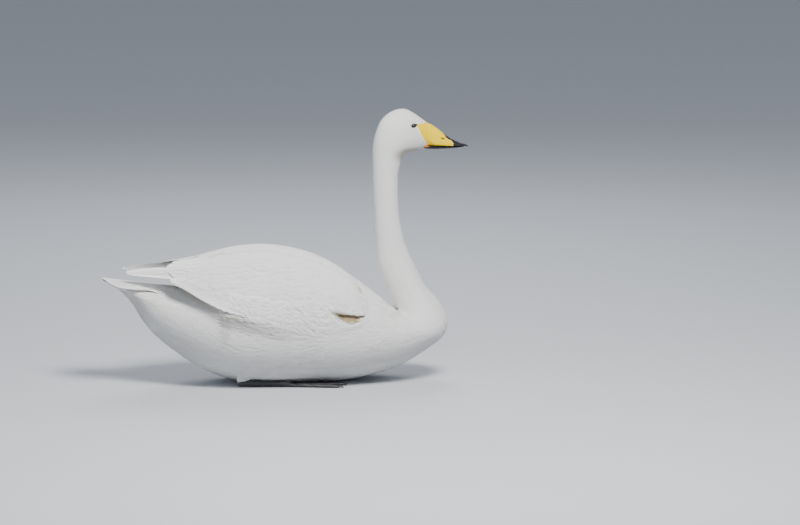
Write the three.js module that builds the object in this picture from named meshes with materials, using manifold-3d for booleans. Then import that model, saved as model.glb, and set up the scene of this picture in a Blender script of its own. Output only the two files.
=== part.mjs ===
// A whooper swan (Cygnus cygnus) at life size, as a still museum model. It sits as it swims: body level,
// neck straight up, wings folded over the back, and the black feet tucked under the belly.
// Millimetres. +X is towards the bill, +Y is the bird's left, +Z is up. The origin is on the floor, under the
// middle of the bounding box. Every solid is the outer shape of the feathers or horn at that place.

import * as THREE from "three";
import { mergeVertices } from "three/addons/utils/BufferGeometryUtils.js";
import Module from "manifold-3d";

// ---------------------------------------------------------------- driving dimensions

const GAP = 0.35; // air left between two neighbouring solids
const TAIL_TIP_X = -434;
const BILL_TIP_X = 434;
const CROWN_Z = 638; // top of the head above the floor
const BACK_Z = 313; // top of the back, under the folded wings
const FLANK_HALF = 163; // half of the body's greatest width
const NECK_HALF = 27.5; // half of the neck's thickness, halfway up
const EYE = { x: 300, y: 21.6, z: 600.5, radius: 6.2 };
const BILL_BASE_X = 335;
const FOOT = { y: 92, jointX: -8, hockX: -122, tarsusRadius: 6.5 };

const COLOURS = {
  plumage: 0xf2efe8,
  bill: 0xf0c014,
  horn: 0x17151a,
  eye: 0x1c120c,
  leg: 0x1d1c1e,
};

// ---------------------------------------------------------------- small tools

// Catmull-Rom value at t in a list of numbers or of equally long arrays, one for each whole t.
function spline(values, t) {
  const i = Math.min(Math.max(Math.floor(t), 0), values.length - 2);
  const f = t - i;
  const at = (k) => values[Math.min(Math.max(k, 0), values.length - 1)];
  const blend = (a, b, c, d) =>
    b + 0.5 * f * (c - a + f * (2 * a - 5 * b + 4 * c - d + f * (3 * (b - c) + d - a)));
  const [a, b, c, d] = [at(i - 1), at(i), at(i + 1), at(i + 2)];
  return Array.isArray(b) ? b.map((_, k) => blend(a[k], b[k], c[k], d[k])) : blend(a, b, c, d);
}

const wasm = await Module();
wasm.setup();

// A manifold-3d solid from a closed three.js geometry.
function solidOf(geometry) {
  const bare = new THREE.BufferGeometry().setAttribute("position", geometry.getAttribute("position"));
  if (geometry.index) bare.setIndex(geometry.index);
  const merged = mergeVertices(bare, 1e-3);
  return new wasm.Manifold(
    new wasm.Mesh({
      numProp: 3,
      vertProperties: new Float32Array(merged.attributes.position.array),
      triVerts: new Uint32Array(merged.index.array),
    }),
  );
}

// A three.js geometry from a manifold-3d solid. Of several bodies only the largest is kept, because a cut may
// leave crumbs.
function geometryOf(solid) {
  const bodies = solid.decompose();
  const largest = bodies.reduce((best, body) => (body.volume() > best.volume() ? body : best));
  const mesh = largest.getMesh();
  const points = new Float32Array(mesh.numVert * 3);
  for (let i = 0; i < mesh.numVert; i++) {
    points.set(mesh.vertProperties.subarray(i * mesh.numProp, i * mesh.numProp + 3), i * 3);
  }
  return new THREE.BufferGeometry()
    .setAttribute("position", new THREE.BufferAttribute(points, 3))
    .setIndex(new THREE.BufferAttribute(new Uint32Array(mesh.triVerts), 1));
}

// A closed solid through rings of [x, y, z] points, all of one length, with flat ends. Rings that would turn it
// inside out are taken in the other order.
function loftOf(rings) {
  const around = rings[0].length;
  const points = rings.flat();
  const middle = (ring) => [0, 1, 2].map((k) => ring.reduce((sum, p) => sum + p[k], 0) / around);
  const first = points.push(middle(rings[0])) - 1;
  const last = points.push(middle(rings.at(-1))) - 1;
  const faces = [];
  const end = (rings.length - 1) * around;
  for (let j = 0; j < around; j++) {
    const next = (j + 1) % around;
    for (let i = 0; i < rings.length - 1; i++) {
      const [a, b] = [i * around + j, i * around + next];
      faces.push(a, b, b + around, a, b + around, a + around);
    }
    faces.push(first, next, j, last, end + j, end + next);
  }
  const geometry = new THREE.BufferGeometry()
    .setAttribute("position", new THREE.BufferAttribute(new Float32Array(points.flat()), 3))
    .setIndex(faces);
  const solid = solidOf(geometry);
  return solid.volume() < 0 ? loftOf(rings.toReversed()) : solid;
}

// A box solid between two corners.
function boxSolid(low, high) {
  const size = high.map((value, k) => value - low[k]);
  const box = new THREE.BoxGeometry(...size);
  return solidOf(box.translate(...low.map((value, k) => value + size[k] / 2)));
}

const group = new THREE.Group();

// Adds one named mesh with its colour and finish.
function addNode(name, solid, colour, roughness) {
  const material = new THREE.MeshStandardMaterial({ color: colour, roughness, metalness: 0 });
  const mesh = new THREE.Mesh(geometryOf(solid), material);
  mesh.name = name;
  group.add(mesh);
}

const mirrored = (solid) => solid.mirror([0, 1, 0]);

// Adds a solid made for the bird's left side and its mirror image. Each is cut by the neighbours' rooms after it
// is mirrored, because the neighbours' own facets aren't quite mirror images.
function addPair(name, solid, colour, roughness, rooms = []) {
  for (const [side, half] of [["left", solid], ["right", mirrored(solid)]]) {
    const cut = rooms.reduce((rest, room) => rest.subtract(room), half);
    addNode(`${name}_${side}`, cut, colour, roughness);
  }
}

const bothSides = (solid) => solid.add(mirrored(solid));

// ---------------------------------------------------------------- body, neck and head

// The bird is one long tube of ribs, from the tail coverts along the trunk, up the neck and into the head.
// Each rib is [x, z of its dorsal point, x, z of its ventral point, half width, share of its height where it is
// widest, counted from the ventral point]. Its plane stands square to the middle plane of the bird.
const RIBS = [
  [-408, 247, -411, 237, 22, 0.6], // under the tail fan
  [-378, 243, -386, 217, 40, 0.6],
  [-345, 237, -363, 190, 54, 0.6],
  [-310, 231, -343, 156, 68, 0.58],
  [-272, 226, -312, 118, 86, 0.55], // root of the tail
  [-232, 234, -262, 76, 108, 0.5],
  [-190, 254, -205, 38, 130, 0.46],
  [-135, 284, -135, 10, 150, 0.43],
  [-55, BACK_Z, -55, -2, 160, 0.41], // highest part of the back
  [25, 308, 40, -3, FLANK_HALF, 0.41],
  [95, 279, 125, 0, 160, 0.42],
  [150, 250, 205, 13, 149, 0.44],
  [195, 217, 275, 36, 132, 0.47],
  [233, 186, 332, 68, 112, 0.5],
  [258, 166, 371, 97, 95, 0.52], // notch between back and neck, and the breast
  [261, 169, 385, 128, 80, 0.52],
  [257, 181, 377, 158, 68, 0.52],
  [250, 197, 358, 188, 57, 0.5],
  [241, 219, 333, 217, 47.5, 0.5],
  [228, 247, 315, 250, 40, 0.5], // root of the neck
  [217, 281, 297, 287, 34, 0.5],
  [214, 330, 281, 330, 30, 0.5],
  [211, 385, 270, 383, 28, 0.5],
  [208, 440, 266.5, 436, NECK_HALF, 0.5],
  [207, 490, 267, 480, NECK_HALF, 0.5],
  [206.5, 525, 272, 508, 28.3, 0.5], // nape and throat
  [208, 553, 277, 524, 29.8, 0.5],
  [214, 582, 281, 529, 31, 0.48],
  [228, 613, 287, 532, 31.5, 0.46],
  [253, 632.5, 295, 534.5, 31.5, 0.45],
  [281, CROWN_Z, 304, 537, 30, 0.45], // crown and cheeks
  [303, 628.5, 315, 540, 26.5, 0.47],
  [320, 616.5, 326, 543, 22, 0.48],
  [BILL_BASE_X, 605.5, BILL_BASE_X, 546, 17.5, 0.45], // forehead and chin, at the bill
];
const AT = { tailEnd: 0, tailRoot: 4, neckRoot: 19, neckLower: 21.2, neckUpper: 23.2, nape: 25.2, billBase: 33 };

// The closed ring of a rib: half an ellipse on each side of its widest level. swell moves it outwards.
function ring([dorsalX, dorsalZ, ventralX, ventralZ, half, widest], around, swell = 0) {
  const height = Math.hypot(dorsalX - ventralX, dorsalZ - ventralZ);
  const up = [(dorsalX - ventralX) / height, (dorsalZ - ventralZ) / height];
  return Array.from({ length: around }, (_, j) => {
    const angle = (2 * Math.PI * j) / around;
    const reach = Math.cos(angle) > 0 ? height * (1 - widest) + swell : height * widest + swell;
    const along = height * widest + reach * Math.cos(angle);
    return [ventralX + up[0] * along, -(half + swell) * Math.sin(angle), ventralZ + up[1] * along];
  });
}

// The solid between two places on the tube of ribs, with steps rings and around points on each.
function stretch(from, to, steps, around, swell = 0) {
  const rings = [];
  for (let i = 0; i <= steps; i++) {
    rings.push(ring(spline(RIBS, from + ((to - from) * i) / steps), around, swell));
  }
  return loftOf(rings);
}

const CUT = 0.007; // half of the gap between two stretches, as a share of the distance between two ribs
const ROOM = 600; // larger than the bird, for boxes that cut

// Everything below the floor is cut away, so that the belly has a small flat to rest on.
const aboveFloor = boxSolid([-ROOM, -ROOM, 0], [ROOM, ROOM, 2 * ROOM]);

// The trunk and the tail coverts, or the room that their neighbours leave them.
const trunk = (swell) => stretch(AT.tailRoot + CUT, AT.neckRoot - CUT, 22, 28, swell);
const coverts = (swell) => stretch(AT.tailEnd, AT.tailRoot - CUT, 6, 20, swell);
const CLEARANCE = 0.6; // along a rib's plane, so that a slanting surface still keeps the gap
const trunkRoom = trunk(CLEARANCE);

// ---------------------------------------------------------------- folded wings

// Each rib of the left wing is [x, y, z of its upper edge, y, z of its lower edge, bulge, thickness].
const WING_RIBS = [
  [186, 106, 196, 128, 178, 3, 6], // bend of the wing
  [165, 78, 231, 146, 160, 16, 16],
  [130, 54, 264, 156, 151, 29, 22],
  [70, 30, 297, 163, 147, 41, 26],
  [0, 14, 318, 164, 150, 46, 27],
  [-60, 6, 325, 166, 163, 45, 26],
  [-120, 3, 321.5, 161, 178, 40, 24],
  [-170, 3, 311.5, 150, 192, 33, 20],
  [-215, 3, 300, 128, 215, 24, 16],
  [-250, 5, 293, 105, 238, 15, 12],
  [-275, 16, 289, 88, 252, 8, 8],
  [-292, 38, 281, 68, 266, 3, 4], // tips of the tertials
];
const PRIMARY_RIBS = [
  [-205, 60, 274, 90, 246, 4, 4],
  [-250, 42, 281, 84, 251, 5, 5],
  [-300, 30, 283, 72, 261, 4, 4.5],
  [-340, 24, 281, 54, 266, 3, 4],
  [-368, 24, 279, 44, 269, 2, 3],
  [-384, 28, 276, 35, 272, 0.5, 1.5], // tips of the longest primaries
];

// A leaf-shaped solid that bulges outwards: an arc from the upper to the lower edge on each rib, and the same arc
// moved inwards by the thickness, which thins towards both edges.
function leaf(ribs, steps, across) {
  const rings = [];
  for (let i = 0; i <= steps; i++) {
    const rib = spline(ribs, ((ribs.length - 1) * i) / steps);
    const [x, topY, topZ, lowY, lowZ, bulge, thickness] = rib;
    const chord = Math.hypot(lowY - topY, lowZ - topZ);
    const out = [(topZ - lowZ) / chord, (lowY - topY) / chord];
    const point = (share, inwards) => {
      const rise = bulge * Math.sin(Math.PI * share) - inwards * thickness * (0.3 + 0.7 * Math.sin(Math.PI * share));
      return [x, topY + (lowY - topY) * share + out[0] * rise, topZ + (lowZ - topZ) * share + out[1] * rise];
    };
    const shares = Array.from({ length: across + 1 }, (_, j) => j / across);
    rings.push([...shares.map((s) => point(s, 0)), ...shares.reverse().map((s) => point(s, 1))]);
  }
  return loftOf(rings);
}

const wingSide = boxSolid([-ROOM, GAP / 2, 0], [ROOM, ROOM, ROOM]);
const wing = leaf(WING_RIBS, 18, 8).intersect(wingSide);
const wingRoom = leaf(
  WING_RIBS.map(([x, topY, topZ, lowY, lowZ, bulge, thickness]) => [
    x, topY - GAP, topZ + GAP, lowY + GAP, lowZ - GAP, bulge + GAP, thickness + 3 * GAP,
  ]),
  18,
  8,
);
const primaries = leaf(PRIMARY_RIBS, 8, 3);

// ---------------------------------------------------------------- tail fan

// Twenty steering feathers lie in a shallow arch. Their tips scallop the rounded end of the fan.
const TAIL_ROOT_X = -262;
const TAIL_FEATHERS = 10; // that show on the fan's outline
const TAIL_HALF_ANGLE = 0.28;
const TAIL_HINGE_X = -200; // where the lines of the feathers would meet
const TAIL_THICKNESS = 5;

// A point of the fan at an angle from the middle and a share of the way from root to tip.
function fanPoint(angle, share, depth) {
  const turn = (angle / TAIL_HALF_ANGLE) * TAIL_FEATHERS * (Math.PI / 2);
  const scallop = 3 * Math.abs(Math.sin(turn)) * share;
  const longest = TAIL_HINGE_X - TAIL_TIP_X;
  const tipRadius = longest * (1 - 0.62 * angle * angle) - 3 + scallop;
  const rootRadius = TAIL_HINGE_X - TAIL_ROOT_X;
  const radius = rootRadius + (tipRadius - rootRadius) * share;
  const [x, y] = [TAIL_HINGE_X - radius * Math.cos(angle), radius * Math.sin(angle)];
  const arch = 100 * angle * angle;
  const top = 231 + 22 * share - arch;
  return [x, y, top - depth];
}

function tailFan() {
  const columns = 2 * TAIL_FEATHERS;
  const rows = 3;
  const rings = [];
  for (let i = 0; i <= columns; i++) {
    const angle = TAIL_HALF_ANGLE * ((2 * i) / columns - 1);
    const shares = Array.from({ length: rows + 1 }, (_, j) => j / rows);
    const thickness = (share) => TAIL_THICKNESS * (1 - 0.6 * share);
    const top = shares.map((share) => fanPoint(angle, share, 0));
    const under = shares.map((share) => fanPoint(angle, share, thickness(share))).reverse();
    rings.push([...top, ...under]);
  }
  return loftOf(rings);
}

const fan = tailFan().subtract(trunkRoom);
const fanRoom = fan.translate([0, 0, -GAP]).add(fan.translate([0, 0, GAP])).add(fan.translate([-GAP, 0, 0]));

addNode("trunk", trunk(0).intersect(aboveFloor), COLOURS.plumage, 0.9);
addNode("tail_coverts", coverts(0).subtract(fanRoom), COLOURS.plumage, 0.9);
addNode("tail", fan, COLOURS.plumage, 0.85);
addPair("wing", wing, COLOURS.plumage, 0.9, [trunkRoom]);
const primaryRooms = [bothSides(wingRoom), trunkRoom, fanRoom, coverts(CLEARANCE)];
addPair("primaries", primaries, COLOURS.plumage, 0.85, primaryRooms);
addNode("neck_lower", stretch(AT.neckRoot + CUT, AT.neckLower - CUT, 4, 20), COLOURS.plumage, 0.9);
addNode("neck_middle", stretch(AT.neckLower + CUT, AT.neckUpper - CUT, 3, 20), COLOURS.plumage, 0.9);
addNode("neck_upper", stretch(AT.neckUpper + CUT, AT.nape - CUT, 3, 20), COLOURS.plumage, 0.9);

// ---------------------------------------------------------------- eyes and head

function ball(radius) {
  return solidOf(new THREE.SphereGeometry(radius, 12, 8)).translate([EYE.x, EYE.y, EYE.z]);
}
const sockets = bothSides(ball(EYE.radius + GAP));
const head = stretch(AT.nape + CUT, AT.billBase, 15, 20).subtract(sockets);
addNode("head", head, COLOURS.plumage, 0.9);
addPair("eye", ball(EYE.radius), COLOURS.eye, 0.1);

// ---------------------------------------------------------------- bill

// The upper bill is a long wedge with an almost flat cutting edge. Each rib is as a body rib, with every plane
// upright: [x, culmen z, cutting edge z, half width].
const UPPER_BILL = [
  [BILL_BASE_X + GAP, 605, 551, 17.3],
  [347, 599.3, 550, 17],
  [360, 590.4, 549.2, 16.4],
  [374, 579, 548.6, 15.6],
  [388, 568.6, 548.2, 14.8],
  [402, 560.3, 548, 14.2],
  [416, 554.6, 547.9, 13.4],
  [426, 551.6, 547.4, 11],
  [431.5, 549, 546, 7],
  [BILL_TIP_X, 546.5, 544.5, 3],
];
const LOWER_BILL = [
  [BILL_BASE_X + GAP, 550.4, 543, 14.5],
  [350, 549.4, 541.6, 14],
  [368, 548.5, 541.4, 13.2],
  [388, 547.7, 542, 12.4],
  [408, 547.4, 543.3, 11.4],
  [421, 547.2, 544.8, 8],
  [425, 546.8, 545.4, 4],
];

// The ring of a bill rib: fullness above 2 squares its shoulders.
function billRing([x, top, bottom, half], widest, fullness, around) {
  const middle = bottom + (top - bottom) * widest;
  return Array.from({ length: around }, (_, j) => {
    const angle = (2 * Math.PI * (j + 0.5)) / around;
    const soften = (value) => Math.sign(value) * Math.abs(value) ** (2 / fullness);
    const reach = Math.cos(angle) > 0 ? top - middle : middle - bottom;
    return [x, -half * soften(Math.sin(angle)), middle + reach * soften(Math.cos(angle))];
  });
}

function bill(ribs, steps, widest, fullness) {
  const rings = [];
  for (let i = 0; i <= steps; i++) {
    rings.push(billRing(spline(ribs, ((ribs.length - 1) * i) / steps), widest, fullness, 16));
  }
  return loftOf(rings);
}

const NAIL = { rootX: 416, half: 7.5 };
const upperBill = bill(UPPER_BILL, 12, 0.12, 2.1);
const nailBlock = boxSolid([NAIL.rootX, -NAIL.half, 540], [ROOM, NAIL.half, 560]);
const nailSlot = boxSolid([NAIL.rootX - GAP, -NAIL.half - GAP, 540], [ROOM, NAIL.half + GAP, 560]);
addNode("bill_upper", upperBill.subtract(nailSlot), COLOURS.bill, 0.35);
addNode("bill_nail", upperBill.intersect(nailBlock), COLOURS.horn, 0.35);
addNode("bill_lower", bill(LOWER_BILL, 8, 0.75, 2.3).translate([0, 0, -GAP]), COLOURS.horn, 0.35);

// ---------------------------------------------------------------- legs and feet

// A tapered limb of round sections along a line of [x, y, z, radius] stations, flattened by a share of its height.
function limb(stations, steps, around, flatten = 1) {
  const rings = [];
  for (let i = 0; i <= steps; i++) {
    const t = ((stations.length - 1) * i) / steps;
    const [x, y, z, radius] = spline(stations, t);
    const [aheadX, aheadY, aheadZ] = spline(stations, Math.min(t + 0.05, stations.length - 1));
    const [behindX, behindY, behindZ] = spline(stations, Math.max(t - 0.05, 0));
    const way = new THREE.Vector3(aheadX - behindX, aheadY - behindY, aheadZ - behindZ).normalize();
    const side = new THREE.Vector3(0, 0, 1).cross(way).normalize();
    const up = new THREE.Vector3().crossVectors(way, side);
    rings.push(
      Array.from({ length: around }, (_, j) => {
        const angle = (2 * Math.PI * j) / around;
        const offset = side.clone().multiplyScalar(radius * Math.cos(angle));
        offset.addScaledVector(up, radius * flatten * Math.sin(angle));
        return [x + offset.x, y + offset.y, z + offset.z];
      }),
    );
  }
  return loftOf(rings);
}

// Three front toes fan out from the joint, with thin webs between them. Each has its length and its angle from
// straight ahead; the claw comes beyond it.
const TOES = [
  { name: "inner", length: 98, angle: -0.26, radius: 5.2 },
  { name: "middle", length: 124, angle: 0.02, radius: 5.8 },
  { name: "outer", length: 116, angle: 0.3, radius: 5.2 },
];
const CLAW_LENGTH = 13;
const WEB_THICKNESS = 1.6;
const TOE_FLATTEN = 0.85;

const toeWay = ({ angle }) => [Math.cos(angle), Math.sin(angle)];

function toePoint(toe, distance) {
  const [x, y] = toeWay(toe);
  return [FOOT.jointX + x * distance, FOOT.y + y * distance];
}

function toeSolid(toe) {
  const radii = [1.15, 1, 1.06, 0.88, 0.72].map((share) => share * toe.radius);
  const stations = radii.map((radius, k) => {
    const [x, y] = toePoint(toe, (toe.length * k) / (radii.length - 1));
    return [x, y, radius * TOE_FLATTEN * 0.92, radius];
  });
  return limb(stations, 5, 8, TOE_FLATTEN);
}

// The web between two toes: a thin flat plate whose free edge is drawn in between the claws.
function webSolid(from, to) {
  const shape = new THREE.Shape();
  const joint = toePoint(from, 0);
  const start = toePoint(from, from.length * 0.94);
  const end = toePoint(to, to.length * 0.94);
  const drawn = 0.8;
  const pull = [0, 1].map((k) => joint[k] + drawn * ((start[k] + end[k]) / 2 - joint[k]));
  shape.moveTo(...joint);
  shape.lineTo(...start);
  shape.quadraticCurveTo(...pull, ...end);
  const plate = new THREE.ExtrudeGeometry(shape, { depth: WEB_THICKNESS, bevelEnabled: false, curveSegments: 5 });
  return solidOf(plate).translate([0, 0, 0.6]);
}

function clawSolid(toe) {
  const tip = toe.radius * 0.7;
  const stations = [0, 0.5, 1].map((share) => {
    const [x, y] = toePoint(toe, toe.length + GAP + CLAW_LENGTH * share);
    const radius = tip * (1 - 0.78 * share);
    return [x, y, radius * TOE_FLATTEN + 0.9 * (1 - share), radius];
  });
  return limb(stations, 2, 6, TOE_FLATTEN);
}

const HIND_TOE = { length: 20, radius: 3.4, drop: 5 };
const HOCK_Z = 11;

function footSolid() {
  const hind = limb(
    [
      [FOOT.jointX - 4, FOOT.y - 4, 9, HIND_TOE.radius * 1.1],
      [FOOT.jointX - 14, FOOT.y - 11, 6.5, HIND_TOE.radius],
      [FOOT.jointX - HIND_TOE.length, FOOT.y - 15, 4, HIND_TOE.radius * 0.7],
    ],
    3, 6,
  );
  const webs = [webSolid(TOES[0], TOES[1]), webSolid(TOES[1], TOES[2])];
  return [...TOES.map(toeSolid), ...webs].reduce((sum, next) => sum.add(next), hind).intersect(aboveFloor);
}

const tarsus = limb(
  [
    [FOOT.hockX, FOOT.y - 16, HOCK_Z, FOOT.tarsusRadius * 1.35],
    [FOOT.hockX + 14, FOOT.y - 14, HOCK_Z - 0.5, FOOT.tarsusRadius * 1.15],
    [(FOOT.hockX + FOOT.jointX) / 2, FOOT.y - 8, 9, FOOT.tarsusRadius * 0.92],
    [FOOT.jointX - 14, FOOT.y - 2, 8, FOOT.tarsusRadius],
    [FOOT.jointX, FOOT.y, 7, FOOT.tarsusRadius],
  ],
  7, 8,
).intersect(aboveFloor);

// The feathered shank comes down out of the belly to the hock.
const shank = limb(
  [
    [FOOT.hockX + 62, FOOT.y - 24, 62, 22],
    [FOOT.hockX + 30, FOOT.y - 22, 40, 17],
    [FOOT.hockX + 2, FOOT.y - 17, 21, 10.5],
  ],
  5, 12,
);

const foot = footSolid();
const footRoom = foot.add(foot.translate([-GAP, 0, GAP])).add(foot.translate([0, 0, -GAP]));
const clawRoom = foot.add(foot.translate([GAP, 0, 0]));
const tarsusRoom = tarsus.add(tarsus.translate([GAP, 0, GAP])).add(tarsus.translate([-GAP, 0, GAP]));
addPair("foot", foot, COLOURS.leg, 0.55, [trunkRoom]);
addPair("tarsus", tarsus, COLOURS.leg, 0.55, [bothSides(footRoom), trunkRoom]);
addPair("shank", shank, COLOURS.plumage, 0.9, [trunkRoom, bothSides(tarsusRoom)]);
for (const toe of TOES) {
  addPair(`claw_${toe.name}`, clawSolid(toe), COLOURS.horn, 0.4, [bothSides(clawRoom)]);
}

export default group;
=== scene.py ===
"""A whooper swan at life size, as a still museum model: skin, feathers, eyes, bill and feet."""

import bpy
import numpy as np
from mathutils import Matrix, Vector


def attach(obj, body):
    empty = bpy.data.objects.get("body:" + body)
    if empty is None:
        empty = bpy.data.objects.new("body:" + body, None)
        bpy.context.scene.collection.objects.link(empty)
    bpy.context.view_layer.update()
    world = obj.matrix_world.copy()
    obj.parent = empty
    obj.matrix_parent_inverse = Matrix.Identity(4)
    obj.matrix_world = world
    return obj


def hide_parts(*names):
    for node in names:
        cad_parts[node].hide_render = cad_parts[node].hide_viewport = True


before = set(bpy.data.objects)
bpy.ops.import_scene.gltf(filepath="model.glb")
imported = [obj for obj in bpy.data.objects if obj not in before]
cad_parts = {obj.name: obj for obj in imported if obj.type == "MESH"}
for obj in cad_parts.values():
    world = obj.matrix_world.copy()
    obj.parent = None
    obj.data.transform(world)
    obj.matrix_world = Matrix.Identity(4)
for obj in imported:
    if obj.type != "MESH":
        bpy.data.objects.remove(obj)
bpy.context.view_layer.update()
chance = np.random.default_rng(11)
MM = 0.001

# ---------------------------------------------------------------- skin
# The bird's own body under the feathers, from the root of the tail to the bill, in one piece. It is a tube
# of ribs, as a taxidermist's form is, that swells where the folded wings lie and comes to the surface only
# on the bare skin in front of the eye.

# Outline of the plumage, from the tip of the tail coverts to the base of the bill: x and z of the upper
# point, x and z of the lower point and half width, all in mm, and the share of its height where a rib is
# widest, counted from the lower point. Places along the bird are counted in these ribs, from 0 on.
RIBS = np.array([
    (-408, 247, -411, 237, 22, 0.6),
    (-378, 243, -386, 217, 40, 0.6),
    (-345, 237, -363, 190, 54, 0.6),
    (-310, 231, -343, 156, 68, 0.58),
    (-272, 226, -312, 118, 86, 0.55),
    (-232, 234, -262, 76, 108, 0.5),
    (-190, 254, -205, 38, 130, 0.46),
    (-135, 284, -135, 10, 150, 0.43),
    (-55, 313, -55, -2, 160, 0.41),
    (25, 308, 40, -3, 163, 0.41),
    (95, 279, 125, 0, 160, 0.42),
    (150, 250, 205, 13, 149, 0.44),
    (195, 217, 275, 36, 132, 0.47),
    (233, 186, 332, 68, 112, 0.5),
    (258, 166, 371, 97, 95, 0.52),
    (261, 169, 385, 128, 80, 0.52),
    (257, 181, 377, 158, 68, 0.52),
    (250, 197, 358, 188, 57, 0.5),
    (241, 219, 333, 217, 47.5, 0.5),
    (228, 247, 315, 250, 40, 0.5),
    (217, 281, 297, 287, 34, 0.5),
    (214, 330, 281, 330, 30, 0.5),
    (211, 385, 270, 383, 28, 0.5),
    (208, 440, 266.5, 436, 27.5, 0.5),
    (207, 490, 267, 480, 27.5, 0.5),
    (206.5, 525, 272, 508, 28.3, 0.5),
    (208, 553, 277, 524, 29.8, 0.5),
    (214, 582, 281, 529, 31, 0.48),
    (228, 613, 287, 532, 31.5, 0.46),
    (253, 632.5, 295, 534.5, 31.5, 0.45),
    (281, 638, 304, 537, 30, 0.45),
    (303, 628.5, 315, 540, 26.5, 0.47),
    (320, 616.5, 326, 543, 22, 0.48),
    (335, 605.5, 335, 546, 17.5, 0.45),
])
NECK_ROOT, NAPE, BILL_BASE = 19, 25.2, 33  # places along the ribs

# The folded wing, from the tips of its tertials to its bend: x, y and z of its upper edge, y and z of its
# lower edge, and its bulge, all in mm.
WING_RIBS = np.array([
    (-292, 38, 281, 68, 266, 3),
    (-275, 16, 289, 88, 252, 8),
    (-250, 5, 293, 105, 238, 15),
    (-215, 3, 300, 128, 215, 24),
    (-170, 3, 311.5, 150, 192, 33),
    (-120, 3, 321.5, 161, 178, 40),
    (-60, 6, 325, 166, 163, 45),
    (0, 14, 318, 164, 150, 46),
    (70, 30, 297, 163, 147, 41),
    (130, 54, 264, 156, 151, 29),
    (165, 78, 231, 146, 160, 16),
    (186, 106, 196, 128, 178, 3),
])

# How far skin and feathers stay above the floor, in metres, and the eye's middle, radius and slant, in mm.
FLOOR_CLEARANCE = 0.4 * MM
EYE = {"x": 300, "y": 21.6, "z": 600.5, "radius": 6.2}
LID_TILT = np.radians(14)

# How deep the coat lies over the skin, in mm, along the ribs.
DEPTH_AT = (0, 4, 8, 14, 17, 20, 25, 28, 31, 33)
DEPTH = (2.5, 3.5, 4.2, 4, 3.5, 3.1, 2.9, 2.3, 1.4, 0.9)
BARE_DEPTH = 0.5

# The notch between neck and back, where the outline folds and the skin lies deeper: its middle, how much
# deeper, and how far from the middle that begins to fade and ends, in mm.
NOTCH, NOTCH_DEPTH, NOTCH_REACH = (258, 0, 170), 9, (30, 85)


def unit(a):
    """The vectors of an array at length 1."""
    return a / np.linalg.norm(a, axis=-1, keepdims=True)


def spline(rows, t):
    """Catmull-Rom: a cubic between two rows of an array, whose slopes come from the rows on either side."""
    last = len(rows) - 1
    i = np.clip(np.floor(t).astype(int), 0, last - 1)
    f = (t - i)[..., None]
    a, b, c, d = (rows[np.clip(i + k, 0, last)] for k in (-1, 0, 1, 2))
    return b + 0.5 * f * (c - a + f * (2 * a - 5 * b + 4 * c - d + f * (3 * (b - c) + d - a)))


def step(value, low, high):
    """Smooth step: 0 below low, 1 above high, and 3s^2 - 2s^3 between them."""
    share = np.clip((value - low) / (high - low), 0, 1)
    return share * share * (3 - 2 * share)


def tube(t, angle, depth=0.0):
    """Point of the outline: half an ellipse on either side of a rib's widest level, moved in by a depth
    in mm."""
    t, angle = np.broadcast_arrays(t, angle)
    back_x, back_z, belly_x, belly_z, half, widest = np.moveaxis(spline(RIBS, t), -1, 0)
    height = np.hypot(back_x - belly_x, back_z - belly_z)
    reach = np.where(np.cos(angle) > 0, height * (1 - widest), height * widest) - depth
    along = height * widest + reach * np.cos(angle)
    x = belly_x + (back_x - belly_x) / height * along
    z = belly_z + (back_z - belly_z) / height * along
    return MM * np.stack([x, -(half - depth) * np.sin(angle), z], -1)


def wing_section(x):
    """The wing's section at each x: y and z of its upper edge, y and z of its lower edge, and its bulge,
    in mm."""
    t = np.interp(x, WING_RIBS[:, 0], np.arange(len(WING_RIBS)))
    return np.moveaxis(spline(WING_RIBS, t), -1, 0)[1:]


# Deeper than this, in mm, a point doesn't count as covered by the wing. What isn't covered gets a distance
# that no limit reaches.
COVERED, NOT_COVERED = 60, -99.0


def under_wing(points):
    """How far the wing's outer face lies above each point, in metres, and the y and z of the way out. A
    point is projected on the chord of the wing's section at its own x, and its height over that chord is
    compared."""
    x, y, z = points[..., 0] / MM, np.abs(points[..., 1]) / MM, points[..., 2] / MM
    top_y, top_z, low_y, low_z, bulge = wing_section(x)
    chord = np.hypot(low_y - top_y, low_z - top_z)
    out_y, out_z = (top_z - low_z) / chord, (low_y - top_y) / chord
    share = ((y - top_y) * (low_y - top_y) - (z - top_z) * (top_z - low_z)) / chord**2
    over = bulge * np.sin(np.pi * np.clip(share, 0, 1)) - ((y - top_y) * out_y + (z - top_z) * out_z)
    covered = (share > 0) & (share < 1) & (over < COVERED) & (x > WING_RIBS[0, 0]) & (x < WING_RIBS[-1, 0])
    return MM * np.where(covered, over, NOT_COVERED), out_y * np.sign(points[..., 1]), out_z


# The edge of the bare yellow skin in front of the eye: x for each z, its upper limit at LORE_FROM and the
# slope of that limit, and where it fades out above the chin. In mm.
LORE_Z = (545, 553.6, 561.2, 573.7, 588.7, 601, 604)
LORE_X = (345, 335.6, 331, 321.7, 314.6, 308, 306)
LORE_FROM, LORE_TOP, LORE_SLOPE = 306, 603.5, 0.06
CHIN = (530, 535)


def bare(points, soft=0.4):
    """1 on the bare skin in front of the eye, 0 on feathered skin."""
    x, z = points[..., 0] / MM, points[..., 2] / MM
    edge = np.interp(z, LORE_Z, LORE_X)
    top = LORE_TOP + LORE_SLOPE * (x - LORE_FROM)
    return step(x - edge, -soft, soft) * step(top - z, -soft, soft) * step(z, *CHIN)


# The hollow at the wrist: z of its upper and its lower limit for each x, and how far its feathers sink, in
# mm.
HOLLOW_X = (70, 90, 105, 127, 150, 168)
HOLLOW_TOP = (190, 187, 184, 180, 176, 171)
HOLLOW_LOW = (190, 176, 165, 153, 158, 171)
HOLLOW_DEPTH = 15


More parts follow.
